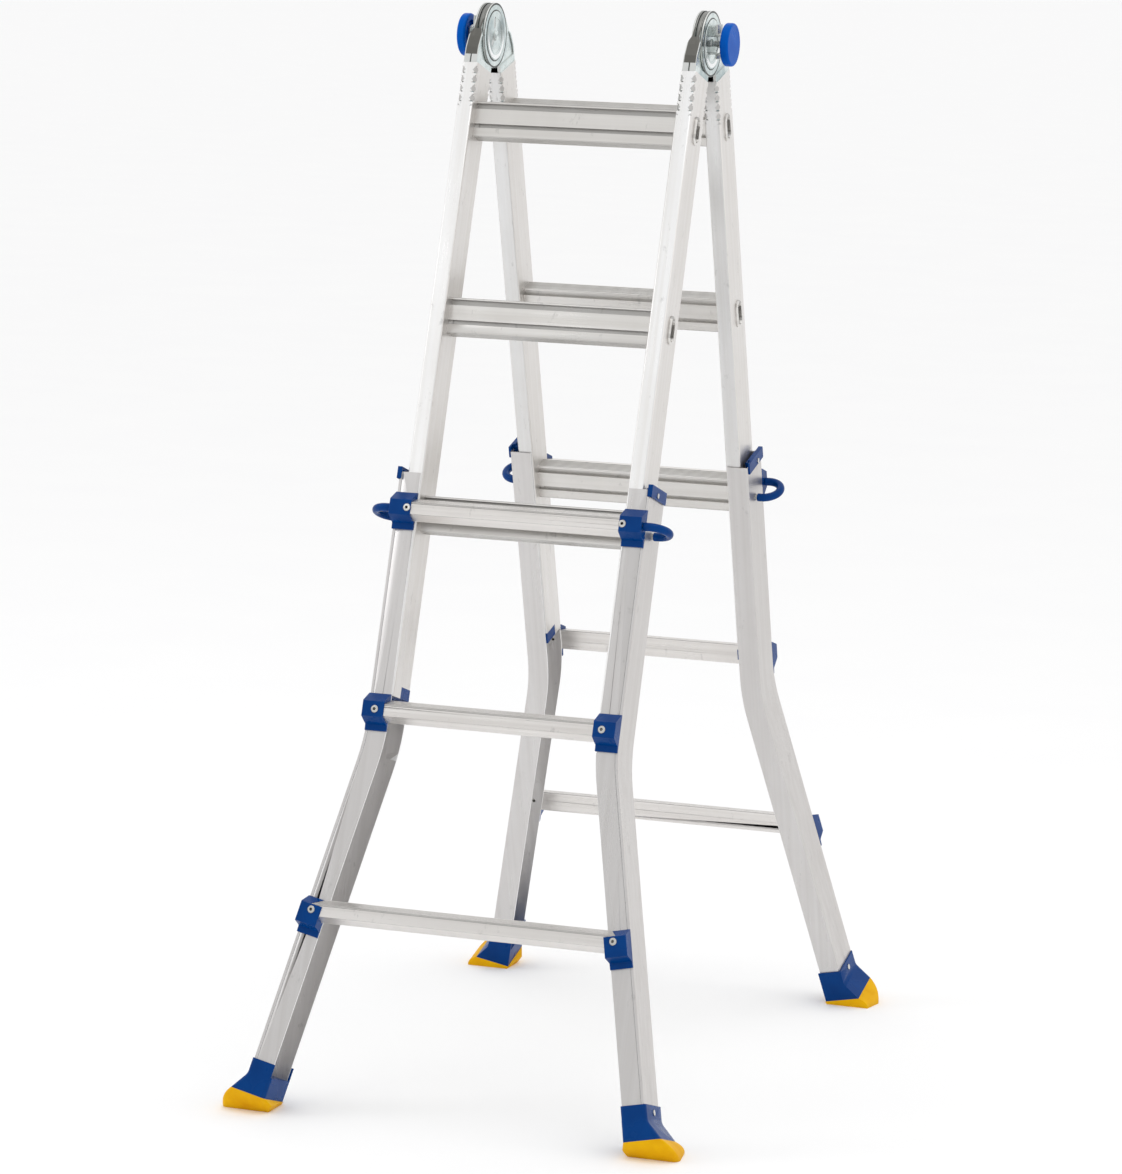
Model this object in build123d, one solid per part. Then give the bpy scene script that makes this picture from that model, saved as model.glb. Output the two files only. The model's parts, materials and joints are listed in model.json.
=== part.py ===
from build123d import *
import math
import os

# Telescopic multi position ladder, standing as a stepladder with both outer sections run out.
# All lengths are in millimetres. World axes: +X to the right, +Y from the front section to the
# rear section, +Z up, origin on the floor midway between the feet.
#
# Every piece of a section is drawn in that section's own axes:
#   x  across the ladder,
#   n  square to the stiles, away from the other section,
#   s  down the stiles, from the hinge axis.

# ---------------------------------------------------------------- stance
HINGE_HEIGHT = 1450.0
LEAN_DEG = 17.2
PITCH = 280.0
FIRST_RUNG = 133.0
RUNG_S = [FIRST_RUNG + PITCH * i for i in range(5)]
GAP = 0.05

# ---------------------------------------------------------------- inner section
INNER_WIDTH = 342.0
STILE_W = 22.5
STILE_D = 60.0
STILE_WALL = 1.5
STILE_N = 33.0
STILE_TOP = 56.5
STILE_END = 950.0
END_CUT = 16.0
END_CUT_N = 37.0
PLUG_LENGTH = 45.0
TANG_END = 115.0

X_OUT = INNER_WIDTH / 2
X_IN = X_OUT - STILE_W
N_BACK = STILE_N - STILE_D / 2
N_FRONT = STILE_N + STILE_D / 2
STILE_CORNER = 2.5
STILE_BORE_CORNER = 4.0

CRIMP_FIRST = 67.0
CRIMP_PITCH = 13.5
CRIMP_COUNT = 4
CRIMP_HEIGHT = 9.0
CRIMP_SIDE = 5.4
SLIT_HEIGHT = 2.0
SLIT_SIDE = 8.6

# ---------------------------------------------------------------- inner rung
RUNG_HALF_D = 13.5
RUNG_HALF_H = 25.0
RUNG_NECK = 7.5
RUNG_LIP_END = -22.5
RUNG_FACE = (-14.5, 6.5)
RUNG_FOOT = 12.5
RUNG_WALL = 1.6
RUNG_CHANNELS = ((-21.1, -14.5), (-12.9, 4.9), (14.0, 23.4))
RUNG_RIBS = 6
RIB_PITCH = 4.0
RIB_W = 1.8
RIB_DEEP = 0.8
SWAGE_W = 18.0
SWAGE_H = 36.0
SWAGE_WALL = 1.8
SWAGE_RIM_W = 22.0
SWAGE_RIM_H = 40.0
SWAGE_RIM_T = 3.0
SWAGE_ROOT = 6.0
SWAGE_EDGE = 1.4

# ---------------------------------------------------------------- outer section
OUTER_X = 182.0
CHANNEL_W = 31.4
CHANNEL_WALL = 1.8
CHANNEL_BACK = 0.7
CHANNEL_FRONT = 65.3
OUTER_TOP = 640.0
CHANNEL_CORNER = 1.2
GROOVE_IN = 3.8
GROOVE_W = 0.8
GROOVE_DEEP = 0.5
LEG_X_AT_C = 234.8
FLARE_DEG = 12.2
BEND_R = 300.0
LEG_END = 484.0

RUNG_A = RUNG_S[2]
RUNG_C = RUNG_S[4]
RIVET_X = [155.7, 163.4, 216.3]
OUTER_RUNG_END = [175.5, 176.0, 226.5]
TREAD_D = 22.0
TREAD_WALL = 1.6
TREAD_BACK_TOP = -16.0
TREAD_FRONT_TOP = -8.0
TREAD_FRONT_LOW = 8.5
TREAD_BACK_LOW = 15.5
TREAD_HEEL = 6.0
TREAD_RIBS = 5
TREAD_RIB_FIRST = 3.0
TREAD_RIB_PITCH = 4.0
TREAD_RIB_W = 1.6
TREAD_RIB_DEEP = 0.7
TREAD_LINE = 2.0
TREAD_LINE_HALF = 0.4
BRACKET_D = 24.0
BRACKET_TOP = -24.0
BRACKET_LOW = 27.5
BRACKET_LIP = 3.0
BRACKET_NOSE = (-10.5, 10.0)
BRACKET_NOSE_LOW = (-14.0, 13.0)
BRACKET_HEEL = ((8.0, 17.5), (4.0, 19.0), (3.4, BRACKET_LOW))
BRACKET_EDGE = 1.5
TREAD_CLEAR = 0.15

RIVET_R = 2.9
RIVET_BORE = 2.1
RIVET_HEAD_R = 5.2
RIVET_HEAD_T = 1.6
RIVET_EDGE = 0.7
RIVET_BULB_R = 3.8
RIVET_BULB_T = 1.0
STUD_R = 2.2
CLIP_RIVET = (41.0, 4.0)
CLIP_HEAD_R = 3.6
SHOE_RIVET_DROP = 10.0
SHOE_HEAD_R = 4.0
STUD_HEAD_T = 1.2

CLIP_RISE = 7.0
CLIP_DROP = 10.0
CLIP_PAD_DROP = 30.0
CLIP_T = 3.0
CLIP_WRAP = 3.5
CLIP_EDGE_N = 2.0
CLIP_PROUD = 2.0
CLIP_PAD_N = (14.0, 60.0)
CLIP_PAD_TOP = 3.0

# ---------------------------------------------------------------- feet
COLLAR_TOP = 461.5
COLLAR_OPEN = 480.0
COLLAR_FLARE = 484.0
SOLE_TOP = 509.2
COLLAR_WALL = 2.4
COLLAR_BACK = -1.3
COLLAR_FRONT = 67.5
COLLAR_ROUND = 5.0
TOE_OUT = 19.0
FLARE_ROUND = 14.0
SHOE_PLUG = 2.0
GROUND_IN = 247.0
GROUND_TIP = 330.0
GROUND_HEEL = 322.0
GROUND_BACK = 445.0
GROUND_FRONT = 492.0
GROUND_ROUND = 9.0
HEEL_ROUND = 1.0
SOLE_BULGE = 5.0
HEEL_CUT = ((249.0, 14.0), (258.0, 0.0))

# ---------------------------------------------------------------- hinge
HINGE_X = X_OUT - STILE_W / 2
DISC_R = 45.5
CORE_HALF = 2.6
FRONT_PLATE = (2.7, 5.2)
REAR_PLATE = (5.4, 7.9)
CAP_R = 32.0
CAP_FIT = 0.08
CAP_HALF = 8.1
LIP_R = 34.5
LIP_HALF = 9.2
AXLE_R = 12.0
TANG_HALF = 9.65
TANG_TOP = 47.0
TANG_CORNER = 3.4
LEAF_TIP = (51.5, 4.0)
LEAF_BELLY = ((57.0, 17.0), (62.5, 34.0))
LEAF_SHOULDER = 44.0
LEAF_ROOT = STILE_TOP - 0.1
LEAF_BACK = N_BACK + 0.5
LEAF_BACK_TOP = 40.0
COVER_T = 2.4
COVER_TIP = (51.7, 4.5)
COVER_SLIP = 0.6
COVER_TRIM = (4.6, 12.0)
COVER_TRIM_TOP = 3.0
COVER_END = 44.6
SPLIT_HALF = 0.6

CORE_CLEAR = 1.2
CAP_GAP = 0.1
LIP_EDGE = 0.8
DISH_R = 24.0
DISH_DEEP = 0.7
BOSS_R = 7.5
BOSS_RISE = 1.4
BOSS_EDGE = 1.0
PRONG_UPPER = ((-5.0, 18.0), 0.0, 16.0)
PRONG_LOWER = ((-11.0, -8.5), -35.0, 13.0)
PRONG_W = 5.0
PRONG_CLEAR = 0.3

KNOB_R = 30.0
KNOB_IN = 187.6
KNOB_T = 12.0
KNOB_ROUND = 3.0
PRESS_STROKE = 8.0
YOKE_T = 2.4
YOKE_BACK = 8.0
YOKE_W = 22.0
YOKE_TOP = 27.5
YOKE_LOW = -20.0
YOKE_CREST = (9.5, 11.0)
YOKE_FOOT = (13.5, 15.0)
KNOB_RECESS = (12.0, 21.0, 5.0)
KNOB_COIL_R = 4.6
LOCK_COIL_R = 5.6
COIL_WIRE_R = 0.7
KNOB_COIL_GAP = 2.2
KNOB_COIL_TURNS = 5
LOCK_COIL_TURNS = 12

# ---------------------------------------------------------------- locks
LOCK_ROD_R = 3.6
LOCK_GRIP_R = 5.8
LOCK_FRONT_N = 76.5
LOCK_DROP = 6.0
LOCK_TIP = 174.7
LOCK_LONG_END = 112.0
LOCK_REACH = 211.5
LOCK_COLLAR_R = 6.8
LOCK_COLLAR_T = 2.0
LOCK_COIL_GAP = 1.2
GRIP_START = 0.4
GRIP_EDGE = 1.2
ROD_CLEAR = 0.3

LEAN = math.radians(LEAN_DEG)
FLARE = math.radians(FLARE_DEG)
BEND_S = RUNG_C - (LEG_X_AT_C - OUTER_X) / math.tan(FLARE)

SECTION = Plane(
    origin=(0, 0, HINGE_HEIGHT),
    x_dir=(1, 0, 0),
    z_dir=(0, -math.sin(LEAN), -math.cos(LEAN)),
)
HALF_TURN = Location((0, 0, 0), (0, 0, 180))


def block(x0, x1, n0, n1, s0, s1):
    """Box between two corners."""
    return Pos((x0 + x1) / 2, (n0 + n1) / 2, (s0 + s1) / 2) * Box(x1 - x0, n1 - n0, s1 - s0)


def outline(points):
    return make_face(Polyline(*points, close=True))


def along_x(face, x0, x1):
    """Prism along x of a face drawn in (n, s)."""
    return extrude(Plane.YZ.offset(x0) * face, x1 - x0)


def along_n(face, n0, n1):
    """Prism along n of a face drawn in (x, s)."""
    return extrude(Plane.XZ.offset(-n1) * face, n1 - n0)


def along_s(face, s0, s1):
    """Prism along s of a face drawn in (x, n)."""
    return extrude(Plane.XY.offset(s0) * face, s1 - s0)


def obround(width, height):
    """Upright slot shape, width across and height along the second axis."""
    return Rot(0, 0, 90) * SlotOverall(height, width)


def mirrored(shape):
    return mirror(shape, about=Plane.YZ)


def pair(shape):
    """The piece and its mirror image across the ladder, as one node."""
    return Compound(children=list(shape.solids()) + list(mirrored(shape).solids()))


def save(shape, name):
    export_step(shape, f"parts/{name}.step")


def save_both(shape, name):
    """Write one piece of the front section and its twin on the rear section."""
    front = shape.moved(SECTION.location)
    save(front, "front_" + name)
    save(front.moved(HALF_TURN), "rear_" + name)


def save_sides(shape, name, stem=("front_", "rear_")):
    """Write the right piece and its left mirror image, on both sections."""
    right = shape.moved(SECTION.location)
    left = mirrored(shape).moved(SECTION.location)
    save(right, stem[0] + name + "_right")
    save(left, stem[0] + name + "_left")
    save(left.moved(HALF_TURN), stem[1] + name + "_right")
    save(right.moved(HALF_TURN), stem[1] + name + "_left")


# ================================================================ inner section
def inner_stile():
    """Rectangular tube, crimped at the top, cut back at the lower rear corner."""
    centre = Pos(HINGE_X, STILE_N)
    outer = centre * RectangleRounded(STILE_W, STILE_D, STILE_CORNER)
    bore = centre * RectangleRounded(
        STILE_W - 2 * STILE_WALL, STILE_D - 2 * STILE_WALL, STILE_BORE_CORNER
    )
    tube = along_s(outer - bore, STILE_TOP, STILE_END)
    for i in range(CRIMP_COUNT):
        s = CRIMP_FIRST + CRIMP_PITCH * i
        for x in (X_IN, X_OUT):
            for n in (N_BACK, N_FRONT):
                corner = Pos(x, n, s) * Rot(0, 0, 45)
                tube -= corner * Box(CRIMP_SIDE, CRIMP_SIDE, CRIMP_HEIGHT)
                slit = Pos(0, 0, (CRIMP_HEIGHT + SLIT_HEIGHT) / 2 - 1.0)
                tube -= corner * slit * Box(SLIT_SIDE, SLIT_SIDE, SLIT_HEIGHT)
    for s in RUNG_S[:3]:
        hole = obround(SWAGE_W + 2 * GAP, SWAGE_H + 2 * GAP)
        tube -= along_x(Pos(STILE_N, s) * hole, X_IN - 1, X_OUT + 1)
    cut = outline(
        [
            (N_BACK - 1, STILE_END - END_CUT),
            (END_CUT_N, STILE_END - END_CUT),
            (END_CUT_N, STILE_END + 1),
            (N_BACK - 1, STILE_END + 1),
        ]
    )
    return tube - along_x(cut, X_IN - 1, X_OUT + 1)


def end_plug():
    """Moulded plug in the lower end of an inner stile, filling the cut corner."""
    width = STILE_W - 2 * STILE_WALL - 2 * GAP
    depth = STILE_D - 2 * STILE_WALL - 2 * GAP
    face = Pos(HINGE_X, STILE_N) * RectangleRounded(width, depth, STILE_BORE_CORNER)
    body = along_s(face, STILE_END - PLUG_LENGTH, STILE_END)
    heel_top = STILE_END - END_CUT + GAP
    heel = block(X_IN, X_OUT, N_BACK, END_CUT_N - GAP, heel_top, STILE_END)
    return body + heel


def rung_profile():
    """Side view of an inner rung: lip, groove, face, groove and foot on each side."""
    half = [
        (RUNG_HALF_D, -RUNG_HALF_H),
        (RUNG_HALF_D, RUNG_LIP_END),
        (RUNG_NECK, RUNG_LIP_END),
        (RUNG_NECK, RUNG_FACE[0]),
        (RUNG_HALF_D, RUNG_FACE[0]),
        (RUNG_HALF_D, RUNG_FACE[1]),
        (RUNG_NECK, RUNG_FACE[1]),
        (RUNG_NECK, RUNG_FOOT),
        (RUNG_HALF_D, RUNG_FOOT),
        (RUNG_HALF_D, RUNG_HALF_H),
    ]
    other = [(-n, s) for n, s in reversed(half)]
    return outline(half + other)


def inner_rung(s):
    """Extruded rung, ribbed above and below, with both ends swaged through the stiles."""
    rung = along_x(rung_profile(), -X_IN, X_IN)
    wide = RUNG_HALF_D - RUNG_WALL
    narrow = RUNG_NECK - RUNG_WALL
    for (top, low), half_w in zip(RUNG_CHANNELS, (narrow, wide, wide)):
        rung -= block(-X_IN, X_IN, -half_w, half_w, top, low)
    for i in range(RUNG_RIBS):
        n = (i - (RUNG_RIBS - 1) / 2) * RIB_PITCH
        for edge in (-RUNG_HALF_H, RUNG_HALF_H):
            low, high = edge - RIB_DEEP, edge + RIB_DEEP
            rung -= block(-X_IN, X_IN, n - RIB_W / 2, n + RIB_W / 2, low, high)
    shell = obround(SWAGE_W, SWAGE_H)
    bore = obround(SWAGE_W - 2 * SWAGE_WALL, SWAGE_H - 2 * SWAGE_WALL)
    rim = obround(SWAGE_RIM_W, SWAGE_RIM_H)
    end = along_x(shell, X_IN - SWAGE_ROOT, X_OUT + 1)
    flange = along_x(rim, X_OUT + GAP, X_OUT + SWAGE_RIM_T)
    flange = chamfer(flange.faces().sort_by(Axis.X)[-1].edges(), SWAGE_EDGE)
    hollow = along_x(bore, X_IN - SWAGE_ROOT - 1, X_OUT + SWAGE_RIM_T + 1)
    rung = rung + end + flange - hollow
    rung = rung + mirrored(end) + mirrored(flange) - mirrored(hollow)
    return Pos(0, STILE_N, s) * rung


# ================================================================ outer section
def leg_band(depth, near=0.0, extra=0.0):
    """Strip of the leg in (x, s), from `near` to `depth` inward of its outer face.

    The strip runs straight down, round the bend and out along the flare.
    """
    tangent = BEND_R * math.tan(FLARE / 2)
    bend_top = BEND_S - tangent
    centre_x = OUTER_X + BEND_R
    out = (math.sin(FLARE), math.cos(FLARE))
    run = LEG_END + extra - tangent

    def points(inset):
        r = BEND_R + inset
        a = (OUTER_X - inset, OUTER_TOP)
        b = (OUTER_X - inset, bend_top)
        m = (centre_x - r * math.cos(FLARE / 2), bend_top + r * math.sin(FLARE / 2))
        c = (centre_x - r * math.cos(FLARE), bend_top + r * math.sin(FLARE))
        d = (c[0] + run * out[0], c[1] + run * out[1])
        return a, b, m, c, d

    a, b, m, c, d = points(near)
    e, f, g, h, k = points(depth)
    edges = [
        Line(a, b),
        ThreePointArc(b, m, c),
        Line(c, d),
        Line(d, k),
        Line(k, h),
        ThreePointArc(h, g, f),
        Line(f, e),
        Line(e, a),
    ]
    return make_face(edges)


def leg_frame():
    """Axes of the flared leg: first axis outward, second axis n, third axis down the leg."""
    return Plane(
        origin=(OUTER_X, 0, BEND_S),
        x_dir=(math.cos(FLARE), 0, -math.sin(FLARE)),
        z_dir=(math.sin(FLARE), 0, math.cos(FLARE)),
    )


def outer_stile():
    """Channel open towards the middle of the ladder, bent outward near the lower end."""
    web = along_n(leg_band(CHANNEL_WALL), CHANNEL_BACK, CHANNEL_FRONT)
    front = along_n(leg_band(CHANNEL_W), CHANNEL_FRONT - CHANNEL_WALL, CHANNEL_FRONT)
    back = along_n(leg_band(CHANNEL_W), CHANNEL_BACK, CHANNEL_BACK + CHANNEL_WALL)
    stile = web + front + back
    line = leg_band(GROOVE_IN + GROOVE_W, near=GROOVE_IN, extra=1.0)
    stile -= along_n(line, CHANNEL_FRONT - GROOVE_DEEP, CHANNEL_FRONT + 1)
    rod_hole = Pos(STILE_N, RUNG_A + LOCK_DROP) * Circle(LOCK_ROD_R + ROD_CLEAR)
    clip_hole = Pos(CLIP_RIVET[0], OUTER_TOP + CLIP_RIVET[1]) * Circle(STUD_R + GAP)
    stile -= along_x(rod_hole, OUTER_X - 5, OUTER_X + 5)
    stile -= along_x(clip_hole, OUTER_X - 5, OUTER_X + 5)
    shoe_hole = Pos(STILE_N, COLLAR_TOP + SHOE_RIVET_DROP) * Circle(STUD_R + GAP)
    stile -= along_x(shoe_hole, -5, 5).moved(leg_frame().location)
    for level in range(3):
        tread_hole = Pos(RIVET_X[level], RUNG_S[2 + level]) * Circle(RIVET_R + GAP)
        stile -= along_n(tread_hole, CHANNEL_FRONT - 5, CHANNEL_FRONT + 1)
    corners = []
    for e in stile.edges():
        middle = e.center()
        on_rim = min(abs(middle.Y - CHANNEL_FRONT), abs(middle.Y - CHANNEL_BACK)) < GAP
        if on_rim and e.length > CHANNEL_W and off_outer_face(middle.X, middle.Z) < 1.0:
            corners.append(e)
    return fillet(corners, CHANNEL_CORNER)


def off_outer_face(x, s):
    """Distance of a point of the (x, s) plane from the outer face of the leg."""
    tangent = BEND_R * math.tan(FLARE / 2)
    bend_top = BEND_S - tangent
    if s < bend_top:
        return abs(OUTER_X - x)
    centre_x = OUTER_X + BEND_R
    angle = math.atan2(s - bend_top, centre_x - x)
    if angle < FLARE:
        return abs(math.hypot(centre_x - x, s - bend_top) - BEND_R)
    along = (x - OUTER_X) * math.cos(FLARE) - (s - BEND_S) * math.sin(FLARE)
    return abs(along)


def tread_outline(grow):
    """Side view of an outer rung, drawn from the channel face, grown by a clearance."""
    return [
        (0, TREAD_BACK_TOP - grow),
        (TREAD_D + grow, TREAD_FRONT_TOP - grow),
        (TREAD_D + grow, TREAD_FRONT_LOW + grow),
        (TREAD_HEEL + grow, TREAD_BACK_LOW + grow),
        (0, TREAD_BACK_LOW + grow),
    ]


def outer_rung(level):
    """Extruded tread fixed to the outward flanges of the channels, ribbed on top."""
    s = RUNG_S[2 + level]
    x_end = OUTER_RUNG_END[level]
    rung = along_x(outline(tread_outline(0)), -x_end, x_end)
    bore = [
        (TREAD_WALL, TREAD_BACK_TOP + TREAD_WALL * 1.5),
        (TREAD_D - TREAD_WALL, TREAD_FRONT_TOP + TREAD_WALL),
        (TREAD_D - TREAD_WALL, TREAD_FRONT_LOW - TREAD_WALL),
        (TREAD_HEEL, TREAD_BACK_LOW - TREAD_WALL),
        (TREAD_WALL, TREAD_BACK_LOW - TREAD_WALL),
    ]
    rung -= along_x(outline(bore), -x_end, x_end)
    rise = TREAD_FRONT_TOP - TREAD_BACK_TOP
    slope = math.degrees(math.atan2(rise, TREAD_D))
    for i in range(TREAD_RIBS):
        n = TREAD_RIB_FIRST + TREAD_RIB_PITCH * i
        top = TREAD_BACK_TOP + rise * n / TREAD_D
        groove = Box(2 * x_end, TREAD_RIB_W, 2 * TREAD_RIB_DEEP)
        rung -= Pos(0, n, top) * Rot(slope, 0, 0) * groove
    line = TREAD_FRONT_TOP + TREAD_LINE
    line_n = TREAD_D - TREAD_LINE_HALF
    rung -= block(-x_end, x_end, line_n, TREAD_D + 1, line - TREAD_LINE_HALF, line + TREAD_LINE_HALF)
    for x in (-RIVET_X[level], RIVET_X[level]):
        rung -= along_n(Pos(x, 0) * Circle(RIVET_R + GAP), -1, TREAD_D + 1)
    return Pos(0, CHANNEL_FRONT, s) * rung


def bracket_outline(nose):
    return [
        (0, BRACKET_TOP),
        (BRACKET_LIP, BRACKET_TOP),
        (BRACKET_D, nose[0]),
        (BRACKET_D, nose[1]),
        *BRACKET_HEEL,
        (0, BRACKET_LOW),
    ]


def bracket(level, nose):
    """Moulded cap over one end of an outer rung, held by a rivet."""
    s = RUNG_S[2 + level]
    x_end = OUTER_RUNG_END[level]
    body_face = outline(bracket_outline(nose))
    if level < 2:
        body = Pos(0, CHANNEL_FRONT, s) * along_x(body_face, OUTER_X - CHANNEL_W, OUTER_X)
    else:
        down = (s - BEND_S) / math.cos(FLARE) + CHANNEL_W / 2 * math.tan(FLARE)
        body = Pos(0, CHANNEL_FRONT, down) * along_x(body_face, -CHANNEL_W, 0)
        body = body.moved(leg_frame().location)
    front_n = CHANNEL_FRONT + BRACKET_D
    rim = [e for e in body.edges() if abs(e.center().Y - front_n) < GAP]
    body = fillet(rim, BRACKET_EDGE)
    cavity = along_x(outline(tread_outline(TREAD_CLEAR)), 0, x_end + TREAD_CLEAR)
    body -= Pos(0, CHANNEL_FRONT, s) * cavity
    rivet_hole = Pos(RIVET_X[level], s) * Circle(RIVET_R + 2 * GAP)
    body -= along_n(rivet_hole, CHANNEL_FRONT, front_n + 1)
    if level == 0:
        rod_hole = Pos(LOCK_FRONT_N, s) * Circle(LOCK_ROD_R + ROD_CLEAR)
        body -= along_x(rod_hole, x_end, OUTER_X + 5)
    return body


def tread_rivet(level):
    """Hollow rivet from bracket to channel; two short ones where the lock rod runs between."""
    at = Pos(RIVET_X[level], RUNG_S[2 + level])
    flush = CHANNEL_FRONT - CHANNEL_WALL
    face = CHANNEL_FRONT + BRACKET_D
    head = along_n(at * Circle(RIVET_HEAD_R), face, face + RIVET_HEAD_T)
    head = chamfer(head.faces().sort_by(Axis.Y)[-1].edges(), RIVET_EDGE)
    if level > 0:
        rivet = along_n(at * Circle(RIVET_R), flush, face) + head
    else:
        front_wall = CHANNEL_FRONT + TREAD_D - TREAD_WALL - GAP
        back_wall = CHANNEL_FRONT + TREAD_WALL + GAP
        inner_end = front_wall - RIVET_BULB_T
        outer_end = back_wall + RIVET_BULB_T
        rivet = along_n(at * Circle(RIVET_R), inner_end, face) + head
        rivet += along_n(at * Circle(RIVET_BULB_R), inner_end, front_wall)
        rivet += along_n(at * Circle(RIVET_R), flush, outer_end)
        rivet += along_n(at * Circle(RIVET_BULB_R), back_wall, outer_end)
    return rivet - along_n(at * Circle(RIVET_BORE), flush - 1, face + 3)


def stud(at, inner, outer, head_r):
    """Small solid rivet along x with its head outside."""
    shank = along_x(at * Circle(STUD_R), inner, outer)
    return shank + along_x(at * Circle(head_r), outer, outer + STUD_HEAD_T)


def rivets():
    """Rivets of the brackets, the guide clip and the shoe on one side."""
    pieces = [tread_rivet(level) for level in range(3)]
    clip_at = Pos(CLIP_RIVET[0], OUTER_TOP + CLIP_RIVET[1])
    pieces.append(stud(clip_at, OUTER_X - CHANNEL_WALL, OUTER_X + CLIP_T, CLIP_HEAD_R))
    shoe_at = Pos(STILE_N, COLLAR_TOP + SHOE_RIVET_DROP)
    shoe_rivet = stud(shoe_at, -CHANNEL_WALL, COLLAR_WALL, SHOE_HEAD_R)
    pieces.append(shoe_rivet.moved(leg_frame().location))
    return Compound(children=[solid for piece in pieces for solid in piece.solids()])


def guide_clip():
    """Moulded guide hooked over the top of the channel web, rubbing on the inner stile."""
    top = OUTER_TOP - CLIP_RISE
    low = OUTER_TOP + CLIP_DROP
    pad_low = OUTER_TOP + CLIP_PAD_DROP
    wrap_x = OUTER_X - CLIP_WRAP
    outer_x = OUTER_X + CLIP_T
    front = CHANNEL_FRONT + CLIP_PROUD
    pad_back, pad_front = CLIP_PAD_N
    web_in = OUTER_X - CHANNEL_WALL - GAP
    clip = block(OUTER_X + GAP, outer_x, CLIP_EDGE_N, front, top, low)
    clip += block(wrap_x, outer_x, CHANNEL_FRONT + GAP, front, top, low)
    clip += block(wrap_x, outer_x, pad_back, front, top, OUTER_TOP - GAP)
    clip += block(LOCK_TIP, web_in, pad_back, pad_front, OUTER_TOP - CLIP_PAD_TOP, pad_low)
    rivet_at = Pos(CLIP_RIVET[0], OUTER_TOP + CLIP_RIVET[1])
    return clip - along_x(rivet_at * Circle(STUD_R + 2 * GAP), OUTER_X, outer_x + 1)


def round_front(body):
    """Round the upright edges at the front of a shoe or sole drawn in the leg's axes."""
    rim = [e for e in body.edges() if abs(e.center().Y - COLLAR_FRONT) < GAP]
    uprights = [e for e in rim if abs((e @ 0).Z - (e @ 1).Z) > 1]
    return fillet(uprights, COLLAR_ROUND)


def shoe():
    """Moulded shoe: collar round the channel end and a toe that spreads outward."""
    inner = -CHANNEL_W - COLLAR_WALL
    face = outline(
        [
            (inner, COLLAR_TOP),
            (COLLAR_WALL, COLLAR_TOP),
            (COLLAR_WALL, COLLAR_FLARE),
            (TOE_OUT, SOLE_TOP),
            (inner, SOLE_TOP),
        ]
    )
    waist = face.vertices().sort_by_distance((COLLAR_WALL, COLLAR_FLARE, 0))[0]
    face = fillet(waist, FLARE_ROUND)
    whole = round_front(along_n(face, COLLAR_BACK, COLLAR_FRONT))
    pocket = block(inner - 1, GAP, CHANNEL_BACK, CHANNEL_FRONT, COLLAR_TOP - 1, LEG_END + GAP)
    plug_low = CHANNEL_BACK + CHANNEL_WALL + GAP
    plug_high = CHANNEL_FRONT - CHANNEL_WALL - GAP
    floor_s = LEG_END + SHOE_PLUG
    plug = block(inner, -CHANNEL_WALL - GAP, plug_low, plug_high, COLLAR_OPEN, floor_s)
    sill = block(inner, -CHANNEL_W - GAP, COLLAR_BACK, COLLAR_FRONT, COLLAR_OPEN, floor_s)
    body = whole - pocket + (whole & (plug + sill))
    hole = Pos(STILE_N, COLLAR_TOP + SHOE_RIVET_DROP) * Circle(STUD_R + 2 * GAP)
    body -= along_x(hole, -1, COLLAR_WALL + 1)
    return body.moved(leg_frame().location)


def rounded(points, front_round):
    """Four-cornered face with its first two corners nearly square and the others rounded."""
    face = outline(points)
    for i, (x, y) in enumerate(points):
        corner = face.vertices().sort_by_distance((x, y, 0))[0]
        face = fillet(corner, HEEL_ROUND if i < 2 else front_round)
    return face


def sole():
    """Soft wedge from the shoe's sloping underside to a flat patch on the floor, full at the toe."""
    inner = -CHANNEL_W - COLLAR_WALL
    collar = (
        (inner, COLLAR_BACK),
        (TOE_OUT, COLLAR_BACK),
        (TOE_OUT, COLLAR_FRONT),
        (inner, COLLAR_FRONT),
    )
    patch = (
        (GROUND_IN, GROUND_BACK),
        (GROUND_HEEL, GROUND_BACK),
        (GROUND_TIP, GROUND_FRONT),
        (GROUND_IN, GROUND_FRONT),
    )
    leg = SECTION.location * leg_frame().location
    waist = []
    for (x, n), (ground_x, ground_y), bulge in zip(collar, patch, (0, SOLE_BULGE, SOLE_BULGE, 0)):
        high = (leg * Pos(x, n, SOLE_TOP)).position
        waist.append((high + Vector(ground_x, -ground_y, 0)) / 2 + Vector(bulge, 0, 0))
    across = waist[1] - waist[0]
    middle = Plane(origin=waist[0], x_dir=across, z_dir=across.cross(waist[3] - waist[0]))
    corners = [middle.to_local_coords(corner) for corner in waist]
    corners = [(corner.X, corner.Y) for corner in corners]
    sections = [
        Plane(leg) * Pos(0, 0, SOLE_TOP) * rounded(collar, COLLAR_ROUND),
        middle * rounded(corners, (COLLAR_ROUND + GROUND_ROUND) / 2),
        Plane(origin=(0, 0, 0), x_dir=(1, 0, 0), z_dir=(0, 0, -1)) * rounded(patch, GROUND_ROUND),
    ]
    body = loft([section.face() for section in sections])
    (high_x, high_z), (low_x, low_z) = HEEL_CUT
    corner = outline([(high_x, high_z), (low_x, low_z), (GROUND_IN - 10, 0), (GROUND_IN - 10, high_z)])
    return body - extrude(Plane.XZ * corner, 2 * GROUND_FRONT)


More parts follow.
